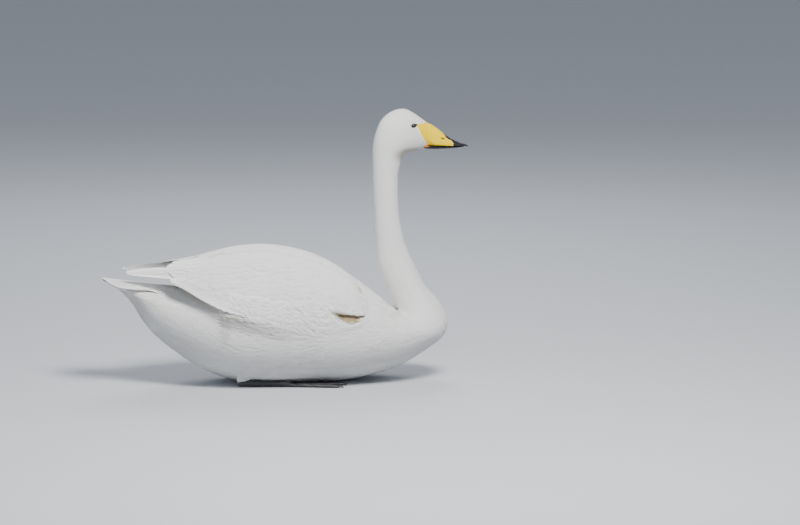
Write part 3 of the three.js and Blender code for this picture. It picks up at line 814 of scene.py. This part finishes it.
def mantle(t, q):
    """Point of the back between the wings: a curve over the middle that meets each wing a little below
    its edge."""
    side, middle = wing(t, 0.14), wing(t, 0.0)
    y = side[..., 1] * q
    z = middle[..., 2] + 1 * MM + (side[..., 2] - middle[..., 2]) * np.square(q)
    return np.stack([side[..., 0] + 0 * y, y, z], -1)


mantle_t, mantle_q = rows_on(mantle, (4.2, 10.5), (-1, 1), covert_gap)
spacing, long, depth = (np.interp(mantle_t, COVERT_AT, row) for row in COVERTS)
grow("mantle", mantle, ((0, 11), (-1.3, 1.3)), mantle_t, mantle_q, long, 0.85 * spacing, depth, BROAD_SHARES,
     0.6, SOFT, climb=at_bend)


def laid(surface, t, share):
    """Centre lines given by their places on a surface."""
    spots, normals = surface(t, share), slopes(surface, t, share)[2]
    ways = unit(np.gradient(spots, axis=1))
    return spots, unit(normals - ways * dot(normals, ways)[..., None]), ways


def quills(name, surface, root_t, tip_t, root_share, tip_share, half, blunt, rise):
    """Long feathers on both sides of the bird, each from a root to a tip on a surface, with half widths
    in mm."""
    given = np.broadcast_arrays(root_t, tip_t, root_share, tip_share, rise, half)
    root_t, tip_t, root_share, tip_share, rise, half = (np.array(row, float)[:, None] for row in given)
    line = laid(surface, root_t + (tip_t - root_t) * LONG_SHARES,
                root_share + (tip_share - root_share) * LONG_SHARES**1.5)
    wide = MM * half * rounded(LONG_SHARES, blunt)
    rise = MM * (rise - 3 * (1 - LONG_SHARES) ** 2)
    roots = np.stack([0.02 + 0.03 * root_t[:, 0], 0.05 + 0.9 * root_share[:, 0]], -1)
    return [vanes(f"{name}_{side}", line, LONG_SHARES, wide, rise, 8, QUILL_THICKNESS, roots, SOFT,
                  side == "left") for side in ("right", "left")]


# Secondaries, whose tips hang out below the coverts along the wing's lower edge, and the tertials over them.
# The uppermost tertial lies on top.
SECONDARIES = 19
tip_t = np.linspace(0.5, 6, SECONDARIES)
quills("secondaries", wing, tip_t + 2.9 - 0.2 * tip_t, tip_t, 0.8, np.linspace(0.95, 1.0, SECONDARIES), 11,
       0.75, np.linspace(-0.5, 0.6, SECONDARIES))
TERTIAL_SHARE = np.array([0.86, 0.74, 0.61, 0.48, 0.35, 0.22, 0.1])
TERTIAL_TIP = np.array([1.9, 1.2, 0.6, 0.12, 0.02, 0.4, 1.1])
tertials = quills("tertials", wing, 5, TERTIAL_TIP, TERTIAL_SHARE, TERTIAL_SHARE, 16, 0.75,
                  np.linspace(-1, 2, 7))
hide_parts("wing_right")
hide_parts("wing_left")

# Primaries: the long flight feathers, of which six tips show behind each wing, closed like a fan.
PRIMARY_RIBS = np.array([
    (-384, 28, 276, 35, 272, 0.5),
    (-368, 24, 279, 44, 269, 2),
    (-340, 24, 281, 54, 266, 3),
    (-300, 30, 283, 72, 261, 4),
    (-250, 42, 281, 84, 251, 5),
    (-205, 60, 274, 90, 246, 4),
])
PRIMARY_TIP = np.array([0.15, 0.02, 0.4, 0.9, 1.5, 2.2])
PRIMARY_SHARE = np.array([0.75, 0.6, 0.5, 0.42, 0.34, 0.26])


def hand(t, share):
    """Point of the closed primaries' outer face."""
    return wing(t, share, PRIMARY_RIBS)


primaries = quills("flight_feathers", hand, 4.95, PRIMARY_TIP, PRIMARY_SHARE, PRIMARY_SHARE, 8.5, 0.6,
                   np.linspace(-1, 1.2, 6))
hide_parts("primaries_right")
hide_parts("primaries_left")

# ---------------------------------------------------------------- tail
# Twenty white steering feathers in a shallow arch, the middle pair on top. Each lies along a ray of a fan
# that spreads from the root of the tail, and small feathers cover the roots.

# x of the point where the rays of the fan meet and of its tip, the roots' distance from that point, and z of
# the roots, their rise to the tips and their drop to the sides for each squared radian, in mm.
FAN_HINGE, FAN_TIP, FAN_ROOT = -200, -434, 62
FAN_LEVEL, FAN_RISE, FAN_ARCH = 231, 22, 100
FAN_HALF_ANGLE, FAN_FEATHERS = 0.27, 20


def fan(share, angle):
    """Point of the fan: a share of the way out along a ray from the hinge, lower towards the sides."""
    long = (FAN_HINGE - FAN_TIP) * (1 - 0.62 * angle**2)
    radius = FAN_ROOT + (long - FAN_ROOT) * share
    return MM * np.stack([FAN_HINGE - radius * np.cos(angle), radius * np.sin(angle),
                          FAN_LEVEL + FAN_RISE * share - FAN_ARCH * angle**2], -1)


turns = np.linspace(-FAN_HALF_ANGLE, FAN_HALF_ANGLE, FAN_FEATHERS)[:, None]
along, _, up = slopes(fan, LONG_SHARES + 0 * turns, turns + 0 * LONG_SHARES)
up = up * np.sign(up[..., 2:])
under_middle = 0.12 * MM * np.abs(np.arange(FAN_FEATHERS) - 9.6)[:, None]
wide = MM * np.interp(LONG_SHARES, (0, 0.7, 1), (6, 13, 12)) * rounded(LONG_SHARES, 0.82)
wide = wide * np.ones((FAN_FEATHERS, 1))
roots = np.stack([np.linspace(0.05, 0.95, FAN_FEATHERS), np.full(FAN_FEATHERS, 0.5)], -1)
steering = vanes("tail_feathers", (fan(LONG_SHARES + 0 * turns, turns), up, unit(along)), LONG_SHARES, wide,
                 1.5 * MM - under_middle + 0 * LONG_SHARES, 3, STEERING_THICKNESS, roots, SOFT)
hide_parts("tail")


def over_tail(t, a):
    """Point over the fan, from its tip at 0 to in front of its root, and down both sides to the rump."""
    return fan(1 - t, -a) + np.array((0, 0, 1.4 * MM))


t, a = rows_on(over_tail, (0.56, 1.2), (-0.44, 0.44), lambda t: 8 * MM + 0 * t)
on_fan = np.abs(a) < 0.42 - 0.32 * np.maximum(1 - t, 0)
t, a = t[on_fan], a[on_fan]
grow("coat_over_tail", over_tail, ((0, 1.3), (-0.6, 0.6)), t, a, 46, 7.5, 3, LONG_SHARES, 0.6, SOFT)

# ---------------------------------------------------------------- bill
# Two closed horn sheaths that meet at the cutting edge. The upper one carries on the head's last rib, takes
# its own shape within a few millimetres, and has nostrils, a nail at the tip and fine ridges inside the
# cutting edge.

# Of each rib: x, z of the top, z of the bottom and half width, in mm.
UPPER_BILL = np.array([
    (333, 606.5, 545.6, 17.58),
    (347, 599.3, 549, 17),
    (360, 590.4, 549.2, 16.4),
    (374, 579, 548.6, 15.6),
    (388, 568.6, 548.2, 14.8),
    (402, 560.3, 548, 14.2),
    (416, 554.6, 547.9, 13.4),
    (426, 551.6, 547.4, 11),
    (431.5, 549, 546, 7),
    (433.6, 547, 544.8, 3.5),
])
LOWER_BILL = np.array([
    (327, 549.8, 547, 11.5),
    (333, 550.4, 543, 14.5),
    (350, 549.4, 541.6, 14),
    (368, 548.5, 541.4, 13.2),
    (388, 547.7, 542, 12.4),
    (408, 547.4, 543.3, 11.4),
    (421, 547.2, 544.8, 8),
    (425, 546.8, 545.4, 4),
])
NAIL_X, NAIL_HALF = 416, 7.5
BILL_AROUND = 160

BLACK, ORANGE = (0.012, 0.012, 0.016), (0.45, 0.12, 0.01)
horn, tree, shader = paint("bill", BLACK, 0.38)
base = mixed(tree, "yellow", 0, 1, BLACK, YELLOW)
tree.links.new(mixed(tree, "gape", 0, 1, base, ORANGE), shader.inputs["Base Color"])
shader.inputs["Specular IOR Level"].default_value = 0.15


def power(value, exponent):
    """A power that keeps the sign."""
    return np.sign(value) * np.abs(value) ** exponent


def bill_grid(ribs, count, widest, fullness):
    """Rings of half superellipses over and under the widest level of each rib."""
    t = (len(ribs) - 1) * np.linspace(0, 1, count)[:, None]
    angle = np.linspace(0, 2 * np.pi, BILL_AROUND, endpoint=False) + 0 * t
    x, top, low, half = np.moveaxis(spline(ribs, t + 0 * angle), -1, 0)
    widest, fullness = widest(x), fullness(x)
    middle = low + (top - low) * widest
    reach = np.where(np.cos(angle) > 0, top - middle, middle - low)
    return np.stack([x, -half * power(np.sin(angle), 2 / fullness),
                     middle + reach * power(np.cos(angle), 2 / fullness)], -1), angle


def bill_piece(name, grid, dents, tones):
    """A closed sheath from rings in mm, moved in along its normals by dents."""
    along, across = np.gradient(grid, axis=0), np.roll(grid, -1, 1) - np.roll(grid, 1, 1)
    normals = unit(np.cross(across, along))
    points = MM * (grid - normals * dents[..., None])
    points = np.concatenate([points.reshape(-1, 3), points[[0, -1]].mean(1)])
    tones = {key: np.concatenate([values.ravel(), values[[0, -1]].mean(1)]) for key, values in tones.items()}
    piece = mesh_of(name, points, closed_grid(len(grid), BILL_AROUND), tones=tones)
    piece.data.materials.append(horn)
    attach(piece, "root")
    return piece


def ellipse(u, v, reach_u, reach_v):
    """Distance from the middle of an ellipse, 1 on its rim."""
    return np.sqrt((u / reach_u) ** 2 + (v / reach_v) ** 2)


# Where the upper bill changes from the head's section to its own.
HEAD_END = (334, 356)

# The nostril's middle and half size, and how far apart the ridges stand, in mm.
NOSTRIL_X, NOSTRIL_Z, NOSTRIL_LONG, NOSTRIL_HIGH = 373, 567, 6.8, 2.5
RIDGE_PITCH = 1.7


def ridged(x):
    """Fine ridges across the cutting edge, from -1 to 1."""
    return np.sin(2 * np.pi * x / RIDGE_PITCH)


grid, angle = bill_grid(UPPER_BILL, 240, lambda x: 0.45 - 0.33 * step(x, *HEAD_END),
                        lambda x: 2 + 0.1 * step(x, *HEAD_END))
x, y, z = np.moveaxis(grid, -1, 0)
low = np.interp(x, UPPER_BILL[:, 0], UPPER_BILL[:, 2])
upper = np.cos(angle) > -0.2
ahead, above = x - NOSTRIL_X, z - NOSTRIL_Z
nostril = ellipse(ahead - 0.35 * above, above + 0.15 * ahead, NOSTRIL_LONG, NOSTRIL_HIGH)
nostril = np.where(upper, nostril, 9)
dents = 3.2 * step(1 - nostril, -0.05, 0.4) - 0.35 * step(1.9 - nostril, 0, 0.6) * step(nostril, 0.9, 1.3)
dents += 0.7 * step(1 - ellipse(x - 372, above, 30, 7), 0, 0.8) * upper
dents += 0.35 * step(1 - np.abs(z - low - 3.2) / 1.2, 0, 1) * step(x, 338, 346) * step(428 - x, 0, 8) * upper
dents += 0.25 * step(z - low, 3.2, 0.4) * ridged(x) * step(x, 345, 355) * step(415 - x, 0, 10)
nail = np.maximum(np.abs(y) / NAIL_HALF, 1 - (x - NAIL_X) / 4)
nail_rim = 0.25 * step(1 - np.abs(nail - 1) / 0.2, 0, 1) * step(x, 410, NAIL_X) * upper
dents += nail_rim - 0.2 * step(1 - nail, 0, 0.8)
dents += 0.5 * (1 - step(x, 336, 350)) + 0.7 * (1 - step(x, 333.6, 335.4))
border = np.interp(z, (549, 558, 562, 567, 582), (397, 396, 391, 382, 372))
border = border + 0.5 * np.sin(z) + 0.4 * np.sin(2.3 * y + 1)
yellow = step(border - x, -0.5, 0.5) * (1 - step(1 - nostril, 0.1, 0.7))
gape = step(1 - ellipse(x - 334, z - 549.5, 50, 1.5), 0, 0.7)
upper_bill = bill_piece("bill_upper_horn", grid, dents, {"yellow": yellow, "gape": gape})
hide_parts("bill_upper", "bill_nail")

grid, angle = bill_grid(LOWER_BILL, 180, lambda x: 0.75 + 0 * x, lambda x: 2.3 + 0 * x)
x, y, z = np.moveaxis(grid, -1, 0)
low = np.interp(x, LOWER_BILL[:, 0], LOWER_BILL[:, 2])
ridges = step(z - low, 3, 5) * ridged(x) * step(x, 340, 350) * step(412 - x, 0, 10)
seam = step(1 - np.abs(np.abs(y) - 4 - 4 * step(400 - x, 0, 60)) / 0.9, 0, 1)
seam = seam * (np.cos(angle) < 0) * step(415 - x, 0, 15)
gape = step(1 - ellipse(x - 332, z - 550, 11, 3), 0, 0.7)
lower_bill = bill_piece("bill_lower_horn", grid, 0.25 * ridges + 0.35 * seam, {"yellow": 0 * x, "gape": gape})
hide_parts("bill_lower")

# ---------------------------------------------------------------- eyes
# Each eye is a glossy ball with a dark iris and a black pupil. Its lids are a ring of bare skin that rolls
# over the ball, with an almond-shaped opening that rises towards the bill.

EYE_AROUND = 96

# Half length and half height of the lids' opening, and how far out the lids follow the ball, in mm.
OPENING = (5.9, 3.1)
BALL_EDGE = 5.9

IRIS, LID = (0.014, 0.006, 0.003), (0.03, 0.027, 0.025)
iris_paint, tree, shader = paint("eye", BLACK, 0.06)
tree.links.new(mixed(tree, "iris", 0.3, 0.34, BLACK, IRIS), shader.inputs["Base Color"])
shader.inputs["IOR"].default_value = 1.37
lid_paint = paint("lids", LID, 0.55)[0]


def eye_frame(side):
    """Middle of an eye, in mm, and its own directions: forwards along the opening, upwards and outwards."""
    out = unit(np.array([0.12, side, 0.1]))
    ahead = np.array([np.cos(LID_TILT), 0, np.sin(LID_TILT)])
    ahead = unit(ahead - out * (ahead @ out))
    up = unit(np.cross(ahead, out))
    up = up * np.sign(up[2])
    return np.array([EYE["x"], side * EYE["y"], EYE["z"]]), ahead, up, out


for side_name, side in (("left", 1), ("right", -1)):
    middle, ahead, up, out = eye_frame(side)
    turn = np.linspace(0, 2 * np.pi, EYE_AROUND, endpoint=False)
    slant = np.radians(np.linspace(1, 178, 90))[:, None]
    ball = (np.sin(slant) * np.cos(turn))[..., None] * ahead + (np.sin(slant) * np.sin(turn))[..., None] * up
    ball = ball + np.cos(slant)[..., None] * out
    ball = (EYE["radius"] - 0.1 + 0.25 * np.exp(-((slant / 0.55) ** 2)))[..., None] * ball
    rings = MM * (middle + ball)
    points = np.concatenate([rings.reshape(-1, 3), rings[[0, -1]].mean(1)])
    iris = np.append((slant + 0 * turn).ravel(), [0, np.pi])
    faces = closed_grid(len(slant), EYE_AROUND)
    if side < 0:
        faces = [part[:, ::-1] for part in faces]
    eyeball = mesh_of(f"eyeball_{side_name}", points, faces, tones={"iris": iris})
    eyeball.data.materials.append(iris_paint)
    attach(eyeball, "root")
    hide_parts(f"eye_{side_name}")

    # The lid's profile from inside the ball, over the margin and out into the feathers: a share of the way
    # from the opening's rim outwards, and a height over the ball, in mm.
    profile = np.array([(-0.4, -0.6), (-0.15, 0.05), (0, 0.45), (0.35, 0.8), (0.9, 0.75), (1.7, 0.2),
                        (2.6, -0.8), (3.0, -1.8), (1.5, -1.9), (0.2, -1.4)])
    point_up = np.abs(np.cos(turn)) ** 3
    rim_u = OPENING[0] * np.cos(turn) * (1 + np.where(np.cos(turn) > 0, 0.45, 0.12) * point_up)
    rim_v = OPENING[1] * np.sin(turn) * (1 - 0.25 * point_up)
    rim = np.hypot(rim_u, rim_v)
    reach = rim + profile[:, :1]
    height = np.sqrt(np.maximum(EYE["radius"] ** 2 - np.minimum(reach, BALL_EDGE) ** 2, 0)) + profile[:, 1:]
    rings = (rim_u / rim * reach)[..., None] * ahead + (rim_v / rim * reach)[..., None] * up
    rings = MM * (middle + (rings + height[..., None] * out))
    j = np.arange(EYE_AROUND)
    base = np.arange(len(profile))[:, None] * EYE_AROUND
    beyond = np.roll(base, -1)
    walls = np.stack([base + j, base + (j + 1) % EYE_AROUND, beyond + (j + 1) % EYE_AROUND, beyond + j], -1)
    walls = walls.reshape(-1, 4)
    if side < 0:
        walls = walls[:, ::-1]
    lids = mesh_of(f"lids_{side_name}", rings.reshape(-1, 3), [walls])
    lids.data.materials.append(lid_paint)
    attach(lids, "root")

# ---------------------------------------------------------------- legs and feet
# The shanks are skin with feathers and join the body. Tarsus, toes and webs are one bare skin on each side,
# drawn together by a fine remesh, and the claws are horn.

# Of each toe: length in mm, angle outwards in radians, and radius in mm. FLAT is the height of a toe over its
# width, and KNUCKLES how its radius swells and narrows from root to tip.
TOES = {"inner": (98, -0.26, 5.2), "middle": (124, 0.02, 5.8), "outer": (116, 0.3, 5.2)}
FLAT = 0.85
KNUCKLES = (1.15, 0.95, 1.12, 0.9, 1.02, 0.84, 0.9, 0.7)
CLAW_LENGTH = 13.4
WEB_TOP, WEB_UNDER = 2.3, 0.7
WEB_ROWS, WEB_COLUMNS = 60, 40

# y of the left foot's joint with its toes, and x of that joint and of the hock, in mm.
FOOT = {"y": 92, "joint_x": -8, "hock_x": -122}

LEG, CLAW = (0.02, 0.02, 0.023), (0.015, 0.014, 0.014)
SCALES_PER_METRE, SCALE_RELIEF = 450, 0.4 * MM
leg_paint, tree, shader = paint("legs", LEG, 0.5)
scales = tree.nodes.new("ShaderNodeTexVoronoi")
place = tree.nodes.new("ShaderNodeTexCoord")
bump = tree.nodes.new("ShaderNodeBump")
scales.inputs["Scale"].default_value = SCALES_PER_METRE
bump.inputs["Strength"].default_value = 0.6
bump.inputs["Distance"].default_value = SCALE_RELIEF
tree.links.new(place.outputs["Object"], scales.inputs["Vector"])
tree.links.new(scales.outputs["Distance"], bump.inputs["Height"])
tree.links.new(bump.outputs["Normal"], shader.inputs["Normal"])
claw_paint = paint("claws", CLAW, 0.35)[0]


def web(one, two, lift):
    """A closed thin plate between two toes, with its free edge drawn in between the claws."""
    (length_one, angle_one, _), (length_two, angle_two, _) = one, two
    v, u = np.linspace(0.02, 1, WEB_ROWS)[:, None], np.linspace(0, 1, WEB_COLUMNS)
    turn = angle_one + (angle_two - angle_one) * u
    long = (length_one + (length_two - length_one) * u) * 0.95 * (1 - 0.2 * np.sin(np.pi * u))
    x = FOOT["joint_x"] + v * long * np.cos(turn)
    y = FOOT["y"] + v * long * np.sin(turn)
    fold = 0.5 * np.sin(6 * np.pi * u) * np.sin(np.pi * u) * v
    top = np.stack([x, y, WEB_TOP + fold + lift + 0 * x], -1)
    low = np.stack([x, y, WEB_UNDER + fold + lift + 0 * x], -1)
    return MM * np.concatenate([top.reshape(-1, 3), low.reshape(-1, 3)])


def plate_faces(rows, columns, start):
    """Faces of a closed plate: two grids back to back, and the walls along their four edges."""
    number = start + np.arange(rows * columns).reshape(rows, columns)
    top = np.stack([number[:-1, :-1], number[1:, :-1], number[1:, 1:], number[:-1, 1:]], -1).reshape(-1, 4)
    under = top[:, ::-1] + rows * columns
    edge = np.concatenate([number[0, :-1], number[:-1, -1], number[-1, :0:-1], number[:0:-1, 0]])
    after = np.roll(edge, -1)
    walls = np.stack([after, edge, edge + rows * columns, after + rows * columns], -1)
    return np.concatenate([top, under, walls])


for side_name in ("left", "right"):
    hock, joint, y = FOOT["hock_x"], FOOT["joint_x"], FOOT["y"]
    tarsus = limb([(hock - 6, y - 16, 11, 2), (hock - 4, y - 16, 11, 6.5), (hock + 3, y - 15.6, 11, 8.7),
                   (hock + 14, y - 14, 10.5, 7.3), ((hock + joint) / 2, y - 8, 9, 5.8),
                   (joint - 14, y - 2, 8, 6.3), (joint, y, 7, 6.5)])
    hind = limb([(joint - 4, y - 4, 9, 3.7), (joint - 14, y - 11, 6.5, 3.4), (joint - 20, y - 15, 4, 2.4)])
    parts = [(*tarsus, 60, 32), (*hind, 24, 20)]
    for name, (long, angle, radius) in TOES.items():
        way = np.array([np.cos(angle), np.sin(angle)])
        stations = []
        for k, swell in enumerate(KNUCKLES):
            stations.append((joint + way[0] * long * k / 7, y + way[1] * long * k / 7,
                             radius * swell * FLAT * 0.95, radius * swell))
        parts.append((*limb(stations, FLAT), 90, 24))
        tip = radius * 0.7
        claw = []
        for k in range(6):
            out, thick = long + CLAW_LENGTH * k / 5, tip * (1 - 0.8 * (k / 5) ** 1.4)
            rise = thick * FLAT + 1.6 * np.sin(np.pi * k / 5) + 0.3
            claw.append((joint + way[0] * out, y + way[1] * out, rise, thick))
        claw[0] = (joint + way[0] * (long - 2), y + way[1] * (long - 2), tip * FLAT + 0.4, tip * 0.9)
        points, faces = joined([(*limb(claw, 0.8), 40, 28)])
        points[:, 2] = np.maximum(points[:, 2], FLOOR_CLEARANCE)
        if side_name == "right":
            points, faces = mirrored(points, faces)
        piece = mesh_of(f"claw_horn_{name}_{side_name}", points, faces)
        piece.data.materials.append(claw_paint)
        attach(piece, "root")
        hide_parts(f"claw_{name}_{side_name}")
    points, faces = joined(parts)
    for one, two, lift in (("inner", "middle", 0), ("middle", "outer", 0.2)):
        faces[0] = np.concatenate([faces[0], plate_faces(WEB_ROWS, WEB_COLUMNS, len(points))])
        points = np.concatenate([points, web(TOES[one], TOES[two], lift)])
    points[:, 2] = np.maximum(points[:, 2], FLOOR_CLEARANCE)
    if side_name == "right":
        points, faces = mirrored(points, faces)
    piece = mesh_of(f"foot_skin_{side_name}", points, faces)
    piece.data.materials.append(leg_paint)
    remesh = piece.modifiers.new("one_skin", "REMESH")
    remesh.mode = "VOXEL"
    remesh.voxel_size = 0.9 * MM
    remesh.use_smooth_shade = True
    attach(piece, "root")
    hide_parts(f"foot_{side_name}", f"tarsus_{side_name}")

# ---------------------------------------------------------------- floor, light and camera
# A pale floor just under the belly, three square lamps in a pale blue surround, and a camera with a long
# lens, low on the bird's right side.

AZIMUTH, ELEVATION = np.radians(-10), np.radians(9)
FRAME_WIDTH, FRAME_HEIGHT = 800, 525
MM_PER_PIXEL = 2.35
ORIGIN_PIXEL = (286, 380.5)
DISTANCE = 30.0
SENSOR = 36

FLOOR_HALF = 20
corners = FLOOR_HALF * np.array([(-1, -1, 0), (1, -1, 0), (1, 1, 0), (-1, 1, 0)])
floor = mesh_of("floor", corners, [np.array([(0, 1, 2, 3)])])
floor.data.materials.append(paint("floor_paint", (0.4, 0.42, 0.45), 0.7)[0])

world = bpy.data.worlds.new("studio")
bpy.context.scene.world = world
world.use_nodes = True
world.node_tree.nodes["Background"].inputs["Color"].default_value = (0.75, 0.82, 0.95, 1)
world.node_tree.nodes["Background"].inputs["Strength"].default_value = 0.5


def lamp(name, place, size, power, colour):
    """A square area light that faces the middle of the bird."""
    light = bpy.data.lights.new(name, "AREA")
    light.size, light.energy, light.color = size, power, colour
    holder = bpy.data.objects.new(name, light)
    holder.location = place
    holder.rotation_euler = (Vector((0, 0, 0.3)) - holder.location).to_track_quat("-Z", "Y").to_euler()
    bpy.context.scene.collection.objects.link(holder)


lamp("key", (0.4, -2.2, 3.0), 1.2, 280, (1, 0.97, 0.93))
lamp("fill", (-2.6, -2.0, 1.2), 2.0, 20, (0.85, 0.92, 1))
lamp("rim", (0.5, 2.4, 2.2), 1.5, 50, (1, 1, 1))

right = np.array([np.cos(AZIMUTH), np.sin(AZIMUTH), 0])
level = np.cos(ELEVATION)
back = np.array([np.sin(AZIMUTH) * level, -np.cos(AZIMUTH) * level, np.sin(ELEVATION)])
upward = np.cross(back, right)
centre = MM * MM_PER_PIXEL * ((FRAME_WIDTH / 2 - ORIGIN_PIXEL[0]) * right
                              + (ORIGIN_PIXEL[1] - FRAME_HEIGHT / 2) * upward)
camera = bpy.data.cameras.new("camera")
camera.sensor_width = SENSOR
camera.lens = SENSOR * DISTANCE / (FRAME_WIDTH * MM_PER_PIXEL * MM)
camera_holder = bpy.data.objects.new("camera", camera)
camera_holder.location = centre + back * DISTANCE
camera_holder.rotation_mode = "QUATERNION"
camera_holder.rotation_quaternion = Vector(-back).to_track_quat("-Z", "Y")
bpy.context.scene.collection.objects.link(camera_holder)
bpy.context.scene.camera = camera_holder
